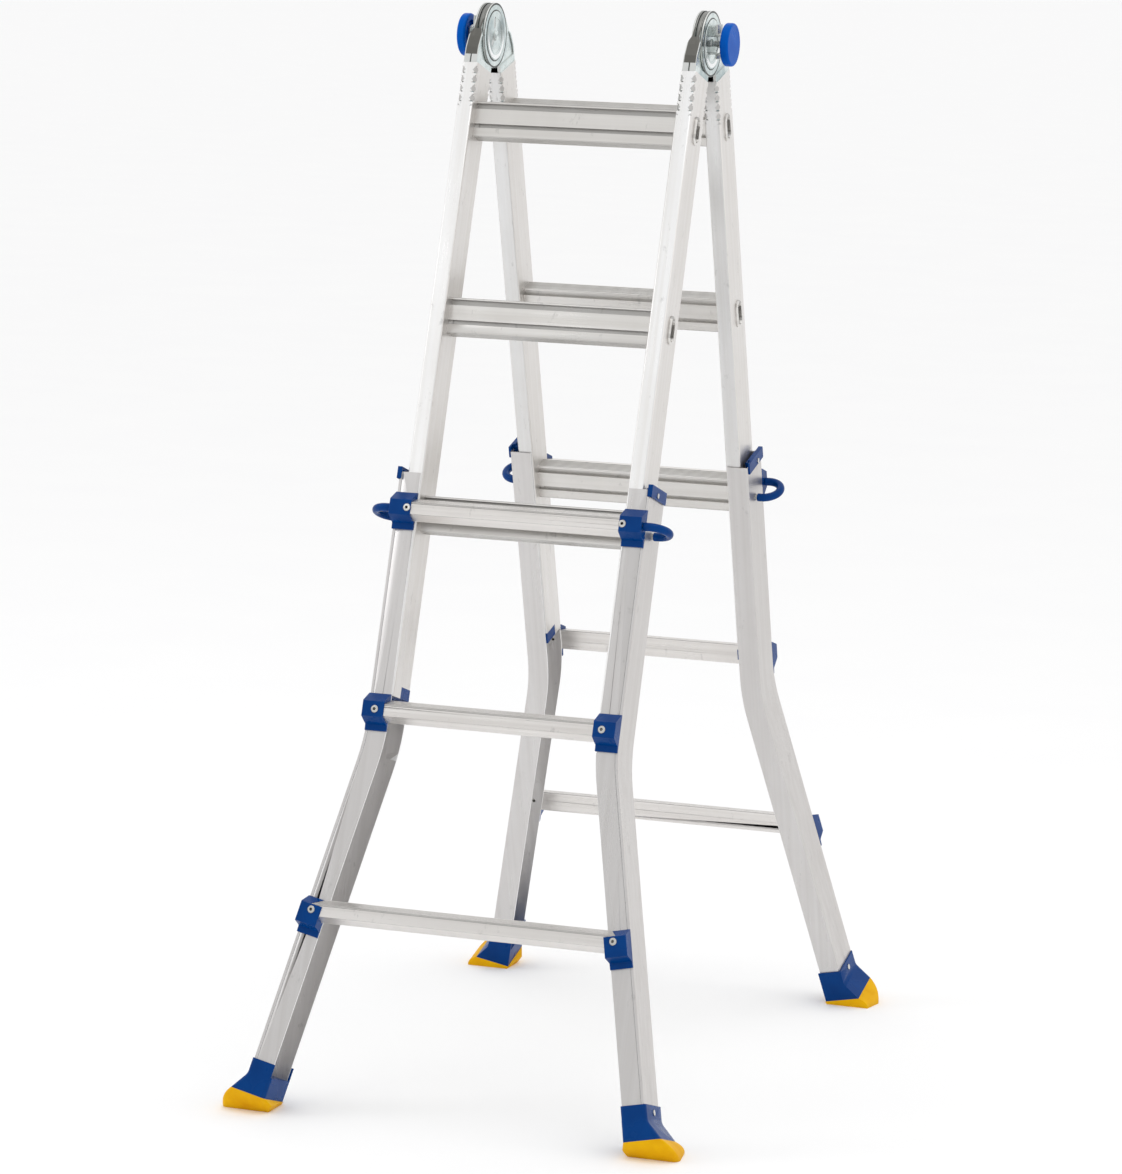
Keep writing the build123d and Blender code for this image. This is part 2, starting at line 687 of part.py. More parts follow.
# ================================================================ hinge
def leaf_outline():
    """Side plate of a hinge leaf: disc, outward belly and root over the stile."""
    swing = math.acos(DISC_R / math.hypot(*LEAF_TIP))
    angle = math.atan2(LEAF_TIP[1], LEAF_TIP[0]) - swing
    tangent = (DISC_R * math.cos(angle), DISC_R * math.sin(angle))
    belly = outline(
        [
            (0, 0),
            tangent,
            LEAF_TIP,
            *LEAF_BELLY,
            (N_FRONT, LEAF_SHOULDER),
            (N_FRONT, LEAF_ROOT),
            (LEAF_BACK, LEAF_ROOT),
            (LEAF_BACK, LEAF_BACK_TOP),
        ]
    )
    return Circle(DISC_R) + belly


def hinge_leaf(near, far, bore_r):
    """Two side plates, a folded cover on the outward face and a tang inside the stile."""
    side = leaf_outline() - Circle(bore_r)
    leaf = along_x(side, near, far) + along_x(side, -far, -near)
    outer = [COVER_TIP, *LEAF_BELLY, (N_FRONT, LEAF_SHOULDER)]
    inner = [(n - COVER_T, s + COVER_SLIP) for n, s in reversed(outer)]
    foot = [(N_FRONT, LEAF_ROOT), (N_FRONT - COVER_T, LEAF_ROOT)]
    cover = along_x(outline(outer + foot + inner), -TANG_HALF, TANG_HALF)
    trim_w, trim_h = COVER_TRIM
    edge = TANG_HALF + 1
    trim = outline([(edge - trim_w - 1, 0), (edge, 0), (edge, trim_h * (1 + 1 / trim_w))])
    trim = Pos(0, 0, COVER_TRIM_TOP) * along_n(trim, 0, N_FRONT)
    leaf += cover - trim - mirrored(trim)
    shoulder = block(-TANG_HALF, TANG_HALF, LEAF_BACK, N_FRONT, TANG_TOP, LEAF_ROOT)
    inset = STILE_WALL + 2 * GAP
    tang = block(-TANG_HALF, TANG_HALF, N_BACK + inset, N_FRONT - inset, TANG_TOP, TANG_END)
    tang = chamfer(tang.edges().filter_by(Axis.Z), TANG_CORNER)
    leaf = leaf + shoulder + tang
    leaf -= block(-near, near, N_BACK - 1, N_FRONT - COVER_T, TANG_TOP - 1, TANG_END + 1)
    leaf -= block(-SPLIT_HALF, SPLIT_HALF, N_FRONT - inset, N_FRONT + 1, COVER_END, STILE_TOP + 1)
    return Pos(HINGE_X, 0, 0) * leaf


def prong_faces(clear):
    """Slots for the lock prongs, drawn in (y, z) about the hinge axis."""
    faces = []
    for (y, z), turn, length in (PRONG_UPPER, PRONG_LOWER):
        slot = obround(PRONG_W + 2 * clear, length + 2 * clear)
        faces.append(Pos(y, z) * Rot(0, 0, turn) * slot)
    return faces


def hinge_pivot():
    """Turned pivot: centre disc, axle and the two bearing caps with retaining lips."""
    core = along_x(Circle(DISC_R - CORE_CLEAR), -CORE_HALF, CORE_HALF)
    axle = along_x(Circle(AXLE_R), -CAP_HALF, CAP_HALF)
    cap = along_x(Circle(CAP_R), FRONT_PLATE[1] + CAP_GAP, CAP_HALF)
    lip = along_x(Circle(LIP_R), REAR_PLATE[1] + CAP_GAP, LIP_HALF)
    lip = chamfer(lip.faces().sort_by(Axis.X)[-1].edges(), LIP_EDGE)
    dish = along_x(Circle(DISH_R) - Circle(BOSS_R), LIP_HALF - DISH_DEEP, LIP_HALF + 1)
    boss = along_x(Circle(BOSS_R), LIP_HALF - CAP_GAP, LIP_HALF + BOSS_RISE)
    boss = chamfer(boss.faces().sort_by(Axis.X)[-1].edges(), BOSS_EDGE)
    stack = cap + lip - dish + boss
    pivot = core + axle + stack + mirrored(stack)
    for face in prong_faces(PRONG_CLEAR):
        pivot -= along_x(face, -LIP_HALF - 3, LIP_HALF + 3)
    return Pos(HINGE_X, 0, HINGE_HEIGHT) * pivot


def lock_yoke():
    """Pressed bridge outside the hinge with two prongs that run through the pivot."""
    t = YOKE_T
    low = HINGE_X + LIP_HALF + PRESS_STROKE + 0.6
    high = KNOB_IN - t
    inner_crest, outer_crest = YOKE_CREST
    inner_foot, outer_foot = YOKE_FOOT
    strip = [
        (low, YOKE_TOP),
        (low + t, YOKE_TOP),
        (low + t, outer_foot),
        (high + t, outer_crest),
        (high + t, -outer_crest),
        (low + t, -outer_foot),
        (low + t, YOKE_LOW),
        (low, YOKE_LOW),
        (low, -inner_foot),
        (high, -inner_crest),
        (high, inner_crest),
        (low, inner_foot),
    ]
    bridge = extrude(Plane.XZ.offset(-YOKE_BACK) * outline(strip), YOKE_W)
    for face in prong_faces(0.0):
        bridge += along_x(face, HINGE_X - LIP_HALF + 0.8, low + 1.0)
    return Pos(0, 0, HINGE_HEIGHT) * bridge


def knob():
    """Round push knob with rounded rims and a shallow recess on its inner side."""
    disc = along_x(Circle(KNOB_R), KNOB_IN, KNOB_IN + KNOB_T)
    disc = fillet(disc.edges(), KNOB_ROUND)
    hub_r, recess_r, deep = KNOB_RECESS
    recess = along_x(Circle(recess_r) - Circle(hub_r), KNOB_IN - 1, KNOB_IN + deep)
    return Pos(0, 0, HINGE_HEIGHT) * (disc - recess)


def coil(radius, wire, length, turns):
    """Compression spring along x, starting at x = 0, with ends squared by its length."""
    helix = Helix(pitch=length / turns, height=length, radius=radius)
    start = helix @ 0
    direction = helix % 0
    section = Plane(origin=start, z_dir=direction) * Circle(wire)
    spring = sweep(section, path=helix)
    return Rot(0, 90, 0) * spring


def knob_spring():
    start = HINGE_X + LIP_HALF + KNOB_COIL_GAP
    length = KNOB_IN - YOKE_T - start - KNOB_COIL_GAP
    spring = coil(KNOB_COIL_R, COIL_WIRE_R, length, KNOB_COIL_TURNS)
    return Pos(start, 0, HINGE_HEIGHT) * spring


# ================================================================ locks
def lock_path(front_end, back_end):
    """Line of the lock rod: long leg through the rung, half turn, short leg into the stile."""
    radius = (LOCK_FRONT_N - STILE_N) / 2
    turn_x = LOCK_REACH - radius
    front = Line((front_end, LOCK_FRONT_N, 0), (turn_x, LOCK_FRONT_N, 0))
    half = ThreePointArc(
        (turn_x, LOCK_FRONT_N, 0),
        (LOCK_REACH, STILE_N + radius, LOCK_DROP / 2),
        (turn_x, STILE_N, LOCK_DROP),
    )
    back = Line((turn_x, STILE_N, LOCK_DROP), (back_end, STILE_N, LOCK_DROP))
    return Wire([front.edge(), half.edge(), back.edge()])


def lock_tube(radius, front_end, back_end):
    section = Plane(origin=(front_end, LOCK_FRONT_N, 0), z_dir=(1, 0, 0)) * Circle(radius)
    return sweep(section, path=lock_path(front_end, back_end))


def lock_pin():
    """Bent steel rod with the collar that the spring bears on."""
    rod = lock_tube(LOCK_ROD_R, LOCK_LONG_END, LOCK_TIP)
    collar = LOCK_LONG_END + LOCK_COLLAR_T
    rod += along_x(Pos(LOCK_FRONT_N, 0) * Circle(LOCK_COLLAR_R), collar, collar + LOCK_COLLAR_T)
    return Pos(0, 0, RUNG_A) * rod


def lock_grip():
    """Moulded sleeve over the bend of the rod."""
    start = OUTER_X + GRIP_START
    grip = lock_tube(LOCK_GRIP_R, start, start + 1.5)
    rims = [e for e in grip.edges().filter_by(GeomType.CIRCLE) if e.radius < LOCK_GRIP_R + 1]
    grip = fillet(rims, GRIP_EDGE)
    grip -= lock_tube(LOCK_ROD_R + GAP, start - 1, start - 1)
    return Pos(0, 0, RUNG_A) * grip


def lock_spring():
    start = LOCK_LONG_END + 2 * LOCK_COLLAR_T + COIL_WIRE_R + GAP + 0.25
    length = OUTER_RUNG_END[0] - LOCK_COIL_GAP - start
    spring = coil(LOCK_COIL_R, COIL_WIRE_R, length, LOCK_COIL_TURNS)
    return Pos(start, LOCK_FRONT_N, RUNG_A) * spring


# ================================================================ write the nodes
os.makedirs("parts", exist_ok=True)

save_sides(inner_stile(), "inner_stile")
save_both(pair(end_plug()), "inner_end_plugs")
for i in range(3):
    save_both(inner_rung(RUNG_S[i]), f"inner_rung_{i + 1}")

save_sides(outer_stile(), "outer_stile")
for i in range(3):
    save_both(outer_rung(i), f"outer_rung_{i + 1}")
save_both(pair(bracket(0, BRACKET_NOSE)), "rung_brackets_top")
save_both(pair(bracket(1, BRACKET_NOSE)), "rung_brackets_middle")
save_both(pair(bracket(2, BRACKET_NOSE_LOW)), "rung_brackets_low")
save_both(pair(rivets()), "rivets")
save_both(pair(guide_clip()), "guide_clips")
save_both(pair(shoe()), "shoes")

soles = pair(sole())
save(soles, "front_soles")
save(soles.moved(HALF_TURN), "rear_soles")

front_leaf = hinge_leaf(FRONT_PLATE[0], FRONT_PLATE[1], AXLE_R + GAP)
for face in prong_faces(PRONG_CLEAR):
    slot = Pos(HINGE_X, 0, HINGE_HEIGHT) * along_x(face, -AXLE_R, AXLE_R)
    front_leaf -= slot.moved(SECTION.location.inverse())
rear_leaf = hinge_leaf(REAR_PLATE[0], REAR_PLATE[1], CAP_R + CAP_FIT)
leaf_right = front_leaf.moved(SECTION.location)
save(leaf_right, "hinge_right_front_leaf")
save(mirrored(leaf_right), "hinge_left_front_leaf")
leaf_left = rear_leaf.moved(SECTION.location).moved(HALF_TURN)
save(leaf_left, "hinge_left_rear_leaf")
save(mirrored(leaf_left), "hinge_right_rear_leaf")

for name, piece in (
    ("pivot", hinge_pivot()),
    ("lock_yoke", lock_yoke()),
    ("knob", knob()),
    ("knob_spring", knob_spring()),
):
    save(piece, "hinge_right_" + name)
    save(mirrored(piece), "hinge_left_" + name)

save_sides(lock_pin(), "lock_pin")
save_sides(lock_grip(), "lock_grip")
save_sides(lock_spring(), "lock_spring")
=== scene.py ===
import bpy
import json
import math
from mathutils import Matrix, Vector


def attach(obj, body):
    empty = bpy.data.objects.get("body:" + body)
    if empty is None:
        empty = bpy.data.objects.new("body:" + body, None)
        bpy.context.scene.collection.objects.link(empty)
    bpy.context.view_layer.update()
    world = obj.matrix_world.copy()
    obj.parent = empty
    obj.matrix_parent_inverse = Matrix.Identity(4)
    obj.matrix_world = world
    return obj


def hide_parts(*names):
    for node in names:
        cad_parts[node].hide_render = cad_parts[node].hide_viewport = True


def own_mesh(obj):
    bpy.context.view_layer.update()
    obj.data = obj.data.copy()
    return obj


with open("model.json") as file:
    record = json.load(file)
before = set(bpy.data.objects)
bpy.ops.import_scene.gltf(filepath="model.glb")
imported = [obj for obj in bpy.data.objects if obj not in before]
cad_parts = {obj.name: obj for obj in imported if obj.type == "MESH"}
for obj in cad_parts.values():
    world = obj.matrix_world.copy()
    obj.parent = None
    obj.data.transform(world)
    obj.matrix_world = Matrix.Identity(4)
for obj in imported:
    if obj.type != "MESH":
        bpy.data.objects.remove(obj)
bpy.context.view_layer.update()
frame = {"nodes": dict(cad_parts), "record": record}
NODES = frame["nodes"]
RECORD = frame["record"]
SLOT_OF = {row["node"]: row["material_slot"] for row in RECORD["subparts"]}
JOINTS = {joint["name"]: joint for joint in RECORD["behaviour"]["joints"]}

# Stance of the ladder, for patterns that follow the sloping stiles: the hinge axis's height in
# metres, and the sine and cosine of a section's lean.
HINGE_Z = JOINTS["main_hinge"]["pos_m"][2]
LEAN_SIN, LEAN_COS = JOINTS["front_slide"]["axis"][1:]


# ---------------------------------------------------------------- shader helpers
class Shader:
    """Builds one procedural material. Values are numbers or sockets of earlier nodes."""

    def __init__(self, name, **values):
        self.material = bpy.data.materials.new(name)
        self.material.use_nodes = True
        self.nodes = self.material.node_tree.nodes
        self.links = self.material.node_tree.links
        self.nodes.clear()
        self.out = self.nodes.new("ShaderNodeOutputMaterial")
        self.bsdf = self.nodes.new("ShaderNodeBsdfPrincipled")
        self.links.new(self.bsdf.outputs["BSDF"], self.out.inputs["Surface"])
        for key, value in values.items():
            self.bsdf.inputs[key.replace("_", " ")].default_value = value

    def feed(self, socket, value):
        if hasattr(value, "is_linked"):
            self.links.new(value, socket)
        else:
            socket.default_value = value

    def set(self, key, value):
        self.feed(self.bsdf.inputs[key], value)

    def split(self, vector):
        node = self.nodes.new("ShaderNodeSeparateXYZ")
        self.feed(node.inputs[0], vector)
        return node.outputs

    def join(self, x, y, z):
        node = self.nodes.new("ShaderNodeCombineXYZ")
        for socket, value in zip(node.inputs, (x, y, z)):
            self.feed(socket, value)
        return node.outputs[0]

    def position(self):
        """Rest position of the surface, which stays with the piece when it moves."""
        return self.nodes.new("ShaderNodeTexCoord").outputs["Object"]

    def normal(self):
        """x, y and z of the resting surface's direction."""
        return self.split(self.nodes.new("ShaderNodeTexCoord").outputs["Normal"])

    def across(self):
        """How far the resting surface faces sideways, from 0 to 1."""
        return self.math("ABSOLUTE", self.normal()[0])

    def section_axes(self):
        """x across, n square to the stiles and s down the stiles, the same on both sections."""
        x, y, z = self.split(self.position())
        depth = self.math("ABSOLUTE", y)
        drop = self.math("SUBTRACT", z, HINGE_Z)
        n = self.math("ADD", self.times(depth, LEAN_COS), self.times(drop, LEAN_SIN))
        s = self.math("SUBTRACT", self.times(depth, LEAN_SIN), self.times(drop, LEAN_COS))
        return x, n, s

    def math(self, op, a, b=0.0, c=0.0):
        node = self.nodes.new("ShaderNodeMath")
        node.operation = op
        for socket, value in zip(node.inputs, (a, b, c)):
            self.feed(socket, value)
        return node.outputs[0]

    def times(self, first, *others):
        for other in others:
            first = self.math("MULTIPLY", first, other)
        return first

    def either(self, a, b):
        """The stronger of two masks."""
        return self.math("MAXIMUM", a, b)

    def apart(self, a, b):
        return self.math("ABSOLUTE", self.math("SUBTRACT", a, b))

    def over(self, value, limit):
        return self.math("GREATER_THAN", value, limit)

    def under(self, value, limit):
        return self.math("LESS_THAN", value, limit)

    def band(self, value, centre, half):
        """1 within half of centre, else 0."""
        return self.math("COMPARE", value, centre, half)

    def ramp(self, value, low, high, to_low=0.0, to_high=1.0):
        node = self.nodes.new("ShaderNodeMapRange")
        node.clamp = True
        self.feed(node.inputs["Value"], value)
        node.inputs["From Min"].default_value = low
        node.inputs["From Max"].default_value = high
        node.inputs["To Min"].default_value = to_low
        node.inputs["To Max"].default_value = to_high
        return node.outputs["Result"]

    def noise(self, vector, scale, detail=2.0, rough=0.5, stretch=(1, 1, 1), offset=(0, 0, 0)):
        mapping = self.nodes.new("ShaderNodeMapping")
        mapping.inputs["Scale"].default_value = stretch
        mapping.inputs["Location"].default_value = offset
        self.feed(mapping.inputs["Vector"], vector)
        node = self.nodes.new("ShaderNodeTexNoise")
        node.inputs["Scale"].default_value = scale
        node.inputs["Detail"].default_value = detail
        node.inputs["Roughness"].default_value = rough
        self.feed(node.inputs["Vector"], mapping.outputs[0])
        return node.outputs["Fac"]

    def mix(self, factor, a, b):
        node = self.nodes.new("ShaderNodeMix")
        node.data_type = "RGBA"
        self.feed(node.inputs["Factor"], factor)
        self.feed(node.inputs["A"], a)
        self.feed(node.inputs["B"], b)
        return node.outputs["Result"]

    def bump(self, height, strength, distance):
        """Adds a bump on top of any earlier one."""
        node = self.nodes.new("ShaderNodeBump")
        node.inputs["Strength"].default_value = strength
        node.inputs["Distance"].default_value = distance
        self.feed(node.inputs["Height"], height)
        if self.bsdf.inputs["Normal"].is_linked:
            self.feed(node.inputs["Normal"], self.bsdf.inputs["Normal"].links[0].from_socket)
        self.set("Normal", node.outputs["Normal"])


def rgb(r, g, b):
    """Display colour in 0-255 as a linear colour."""

    def linear(v):
        v /= 255.0
        return v / 12.92 if v <= 0.04045 else ((v + 0.055) / 1.055) ** 2.4

    return (linear(r), linear(g), linear(b), 1.0)


# ---------------------------------------------------------------- where the patterns lie
# Lengths in metres along the section's axes. A pair is the centre and half width of a band.
PITCH = 0.280
FIRST_RUNG = 0.133

STILE_N = 0.033
STILE_BACK_N = 0.0036
STILE_HALF_W = 0.01125
STILE_HALF_D = 0.030

CRIMP_FIRST = 0.067
CRIMP_PITCH = 0.0135
CRIMP_ROW = (0.0905, 0.0285)
CRIMP_REACH = 0.0062

RUNG_HALF_D = 0.0135
RUNG_NECK = 0.0075
RUNG_GROOVES = ((-0.0185, 0.0042), (0.0095, 0.0031))
RUNG_RIB_LINE = (0.02455, 0.0004)

TREAD_BACK_N = 0.0653
TREAD_TOP = -0.016
TREAD_RISE = 0.008 / 0.022
TREAD_RIB_LINE = (0.0006, 0.0004)
TREAD_FACE_LINE = (0.0869, 0.0002)
CHANNEL_LINE = (0.0648, 0.0002)

# The hinge: radii round its axis, layers from the middle of the stack, and the folded covers.
HINGE_X = 0.15975
DISC_R = 0.0345
DISC_RIM = 0.0462
DISC_LINES = ((0.0441, 0.0013), (0.0353, 0.0009))
GLINT = (0.0300, 0.0026)
GLINT_RISE = (0.004, -0.012)
SHEEN_PHASE = 0.9
OUTER_PLATE = (0.00665, 0.0012)
PLATE_GAPS = ((0.0053, 0.0004), (0.00265, 0.0003))
COVER_END = 0.0446
SPLIT_HALF = 0.0010
BEND_START = 0.0081
BEND_FADE = 0.0006

# How strong each painted shade and painted highlight is, from 0 to 1.
BACK_SHADE = 0.34
CREASE_SHADE = 0.62
RIB_SHADE = 0.5
GROOVE_SHADE = 0.25
GROOVE_OUTWARD_MORE = 0.45
SHADE_DEPTH = 0.62
RING_DEPTH = 0.95
ROOT_DEPTH = 0.8
RIM_GLOW = 0.2
OUTER_PLATE_MORE = 0.6

# How far sideways a surface faces, from 0 to 1: a flat plate is over PLATE_FACE, and an edge
# or cover is under PLATE_EDGE.
PLATE_FACE = 0.7
PLATE_EDGE = 0.4

# Fine lines are stretched along the extrusion: down the stile or across the rung.
STREAKS = {"s": (1, 1, 0.012), "x": (0.012, 1, 1)}

SCUFF_GREY = rgb(140, 140, 138)
SIDE_SHADE_TAN = rgb(176, 166, 156)
INSIDE_WHITE = rgb(252, 252, 252)
PAINTED_SHADE_GREY = rgb(78, 78, 78)
ZINC_PALE, ZINC_BLUE, ZINC_WARM = rgb(220, 229, 228), rgb(172, 188, 190), rgb(196, 198, 186)
COVER_GREY = rgb(104, 103, 99)
ROOT_HIGHLIGHT = rgb(232, 234, 232)
SPLIT_SHADE = rgb(48, 48, 46)
SHEEN_GREY = rgb(96, 106, 108)
GLINT_WHITE = rgb(246, 248, 248)
RIM_HIGHLIGHT = rgb(226, 228, 225)
SHADOW_LINE_BLACK = rgb(16, 18, 18)
RIVET_BORE_SHADE = rgb(48, 46, 44)
BLUE_SCUFF = rgb(90, 125, 190)
SOLE_YELLOW, SOLE_DEEP, SOLE_LOW_DARK = rgb(238, 184, 0), rgb(224, 162, 0), rgb(120, 92, 30)


# ---------------------------------------------------------------- painted shade on the extrusions
def from_rung(sh, s):
    """Distance down the stile from the nearest rung."""
    run = sh.math("ADD", s, PITCH / 2 - FIRST_RUNG)
    return sh.math("SUBTRACT", sh.math("FLOORED_MODULO", run, PITCH), PITCH / 2)


def rung_shade(sh, x, n, s):
    """Painted shade in the two grooves along each side of a rung, darker on the outward side, and
    painted shade lines on its ribs.
    """
    drop = from_rung(sh, s)
    deep = sh.ramp(sh.apart(n, STILE_N), RUNG_NECK, RUNG_HALF_D, 1.0, 0.0)
    outward = sh.math("MULTIPLY_ADD", sh.over(n, STILE_N), GROOVE_OUTWARD_MORE, GROOVE_SHADE)
    upper, lower = [sh.band(drop, *groove) for groove in RUNG_GROOVES]
    grooves = sh.times(sh.math("ADD", upper, lower), deep, outward)
    ribs = sh.band(sh.math("ABSOLUTE", drop), *RUNG_RIB_LINE)
    return sh.either(grooves, sh.times(ribs, RIB_SHADE))


def tread_shade(sh, x, n, s):
    """Painted shade lines between the ribs on a tread's sloping top, and one on its face."""
    slope = sh.math("MULTIPLY_ADD", n, TREAD_RISE, TREAD_TOP - TREAD_RISE * TREAD_BACK_N)
    ribs = sh.band(sh.math("SUBTRACT", from_rung(sh, s), slope), *TREAD_RIB_LINE)
    return sh.either(ribs, sh.band(n, *TREAD_FACE_LINE))


def stile_shade(sh, x, n, s):
    """Painted shade in creases that run from each crimp, and on the faces that look towards the
    other section.
    """
    back = sh.times(sh.under(n, STILE_BACK_N), BACK_SHADE)
    turn = sh.math("MULTIPLY_ADD", s, 1 / CRIMP_PITCH, 0.5 - CRIMP_FIRST / CRIMP_PITCH)
    wave = sh.math("MULTIPLY_ADD", sh.math("FRACT", turn), 2.0, -1.0)
    reach = sh.math("MULTIPLY_ADD", sh.math("ABSOLUTE", wave), -CRIMP_REACH, CRIMP_REACH)
    aside = sh.apart(sh.math("ABSOLUTE", x), HINGE_X)
    from_side = sh.math("SUBTRACT", STILE_HALF_W, aside)
    from_front = sh.math("SUBTRACT", STILE_HALF_D, sh.apart(n, STILE_N))
    near_corner = sh.math("LESS_THAN", sh.either(from_side, from_front), reach)
    crease = sh.times(near_corner, sh.band(s, *CRIMP_ROW), CREASE_SHADE)
    return sh.either(back, crease)


def channel_shade(sh, x, n, s):
    """A painted shade line where the channel's front flange folds, on its front only."""
    return sh.times(sh.band(n, *CHANNEL_LINE), sh.under(sh.across(), 0.5))


# ---------------------------------------------------------------- materials
def drawn_metal(name, base, dark, streak_axis, shade, side=0.0, inside=0.0):
    """Extruded aluminium: fine die lines along its length, faint bands, handling marks, and the
    painted shade that the shade function gives.

    side paints shade, a darker tan, on the faces that look sideways, and inside pales those that
    look inwards.
    """
    sh = Shader(name, Metallic=0.88, IOR=1.5)
    x, n, s = sh.section_axes()
    place = sh.join(x, n, s)
    along = STREAKS[streak_axis]
    lines = sh.noise(place, 900.0, detail=2.0, rough=0.6, stretch=along)
    bands = sh.noise(place, 120.0, 2.0, 0.55, stretch=along, offset=(0.3, 0.7, 0.1))
    cloud = sh.noise(place, 7.0, 4.0, 0.6, stretch=(1, 1, 0.6), offset=(1.3, 0.2, 0.6))
    marks = sh.noise(place, 60.0, 5.0, 0.7, stretch=(1, 1, 0.5), offset=(0.1, 2.2, 0.4))
    colour = sh.mix(sh.ramp(bands, 0.35, 0.7, to_high=0.55), base, dark)
    colour = sh.mix(sh.ramp(cloud, 0.45, 0.72, to_high=0.4), colour, dark)
    colour = sh.mix(sh.ramp(marks, 0.62, 0.72, to_high=0.35), colour, SCUFF_GREY)
    # Painted shade: faces that look sideways turn a darker tan.
    if side:
        colour = sh.mix(sh.ramp(sh.across(), 0.3, 0.9, to_high=side), colour, SIDE_SHADE_TAN)
    if inside:
        inward = sh.under(sh.times(x, sh.normal()[0]), -0.02)
        colour = sh.mix(sh.times(inward, inside), colour, INSIDE_WHITE)
    # Painted shade from the shade function: grooves, creases, fold lines and faces towards the
    # other section.
    colour = sh.mix(sh.times(shade(sh, x, n, s), SHADE_DEPTH), colour, PAINTED_SHADE_GREY)
    sh.set("Base Color", colour)
    tone = sh.math("ADD", sh.times(lines, 0.5), sh.times(cloud, 0.5))
    sh.set("Roughness", sh.ramp(tone, 0.35, 0.65, to_low=0.26, to_high=0.42))
    sh.bump(lines, strength=0.18, distance=0.0002)
    sh.bump(bands, strength=0.10, distance=0.0005)
    return sh.material


def zinc_metal(name):
    """Zinc-plated pressed steel: pale flat plates, dull grey folded covers and plate edges, with
    painted highlights, sheen and shadow lines.
    """
    sh = Shader(name, Metallic=1.0, IOR=1.5)
    x, n, s = sh.section_axes()
    _, y, z = sh.split(sh.position())
    place = sh.join(x, n, s)
    cloud = sh.noise(place, 28.0, detail=4.0, rough=0.6)
    spangle = sh.noise(place, 260.0, detail=3.0, rough=0.6, offset=(0.4, 0.1, 0.9))
    grain = sh.noise(place, 1400.0, detail=2.0, rough=0.5)
    colour = sh.mix(sh.ramp(cloud, 0.4, 0.65), ZINC_PALE, ZINC_BLUE)
    colour = sh.mix(sh.ramp(spangle, 0.5, 0.8, to_high=0.5), colour, ZINC_WARM)

    # Covers and edges are grey. Bends and the roots below the covers get a painted highlight,
    # with a painted shade line in the split.
    flat = sh.across()
    edge = sh.ramp(flat, 0.2, 0.75, to_low=1.0, to_high=0.0)
    colour = sh.mix(edge, colour, COVER_GREY)
    layer = sh.apart(sh.math("ABSOLUTE", x), HINGE_X)
    below = sh.over(s, COVER_END)
    bend = sh.either(below, sh.ramp(layer, BEND_START, BEND_START + BEND_FADE))
    colour = sh.mix(sh.times(bend, edge, ROOT_DEPTH), colour, ROOT_HIGHLIGHT)
    split = sh.times(sh.band(layer, 0.0, SPLIT_HALF), below)
    colour = sh.mix(sh.times(split, edge, ROOT_DEPTH), colour, SPLIT_SHADE)

    # The disc's face: a painted sheen, darker in two opposite fans, and a painted glint low on
    # its rim.
    rise = sh.math("SUBTRACT", z, HINGE_Z)
    radius = sh.math("SQRT", sh.math("ADD", sh.times(rise, rise), sh.times(y, y)))
    face = sh.over(flat, PLATE_FACE)
    fans = sh.math("MULTIPLY_ADD", sh.math("ARCTAN2", rise, y), 2.0, SHEEN_PHASE)
    sheen = sh.ramp(sh.math("SINE", fans), -0.2, 1.0, to_high=0.55)
    sheen = sh.times(sheen, sh.under(radius, DISC_R), face)
    colour = sh.mix(sheen, colour, SHEEN_GREY)
    glint = sh.times(sh.band(radius, *GLINT), sh.ramp(rise, *GLINT_RISE), face)
    colour = sh.mix(glint, colour, GLINT_WHITE)

    # Painted highlight on the plate edges round the disc, strongest on the outer plate's.
    rim = sh.under(radius, DISC_RIM)
    glow = sh.math("MULTIPLY_ADD", sh.band(layer, *OUTER_PLATE), OUTER_PLATE_MORE, RIM_GLOW)
    colour = sh.mix(sh.times(rim, edge, glow), colour, RIM_HIGHLIGHT)

    # Painted shadow lines: rings between disc, cap and plate, and the gaps between the plates.
    ring = sh.either(*[sh.band(radius, *line) for line in DISC_LINES])
    gap = sh.either(*[sh.band(layer, *line) for line in PLATE_GAPS])
    gap = sh.times(gap, rim, sh.under(flat, PLATE_EDGE))
    dark = sh.times(sh.either(sh.times(ring, face), gap), RING_DEPTH)
    sh.set("Base Color", sh.mix(dark, colour, SHADOW_LINE_BLACK))

    rough = sh.ramp(cloud, 0.35, 0.7, to_low=0.2, to_high=0.34)
    sh.set("Roughness", sh.math("MULTIPLY_ADD", edge, 0.16, rough))
    sh.bump(cloud, strength=0.25, distance=0.002)
    sh.bump(grain, strength=0.12, distance=0.0002)
    return sh.material


def bright_steel(name, tint, roughness, hollow=False):
    """Plated wire, rod and rivets; hollow rivets get painted shade inside and round their rims.
    """
    sh = Shader(name, Metallic=1.0)
    place = sh.position()
    cloud = sh.noise(place, 90.0, detail=3.0, rough=0.6)
    deep = tuple(0.75 * c for c in tint[:3]) + (1.0,)
    colour = sh.mix(sh.ramp(cloud, 0.35, 0.7), tint, deep)
    if hollow:
        # Painted shade inside the hollow rivet and round its rim, on surfaces that face away from
        # the outside.
        _, normal_y, normal_z = sh.normal()
        outward = sh.times(sh.math("ABSOLUTE", normal_y), LEAN_COS)
        outward = sh.math("MULTIPLY_ADD", normal_z, LEAN_SIN, outward)
        facing = sh.either(outward, sh.across())
        colour = sh.mix(sh.ramp(facing, 0.45, 0.8), RIVET_BORE_SHADE, colour)
    sh.set("Base Color", colour)
    sh.set("Roughness", sh.ramp(cloud, 0.3, 0.7, roughness, roughness + 0.12))
    sh.bump(sh.noise(place, 900.0), strength=0.1, distance=0.0002)
    return sh.material


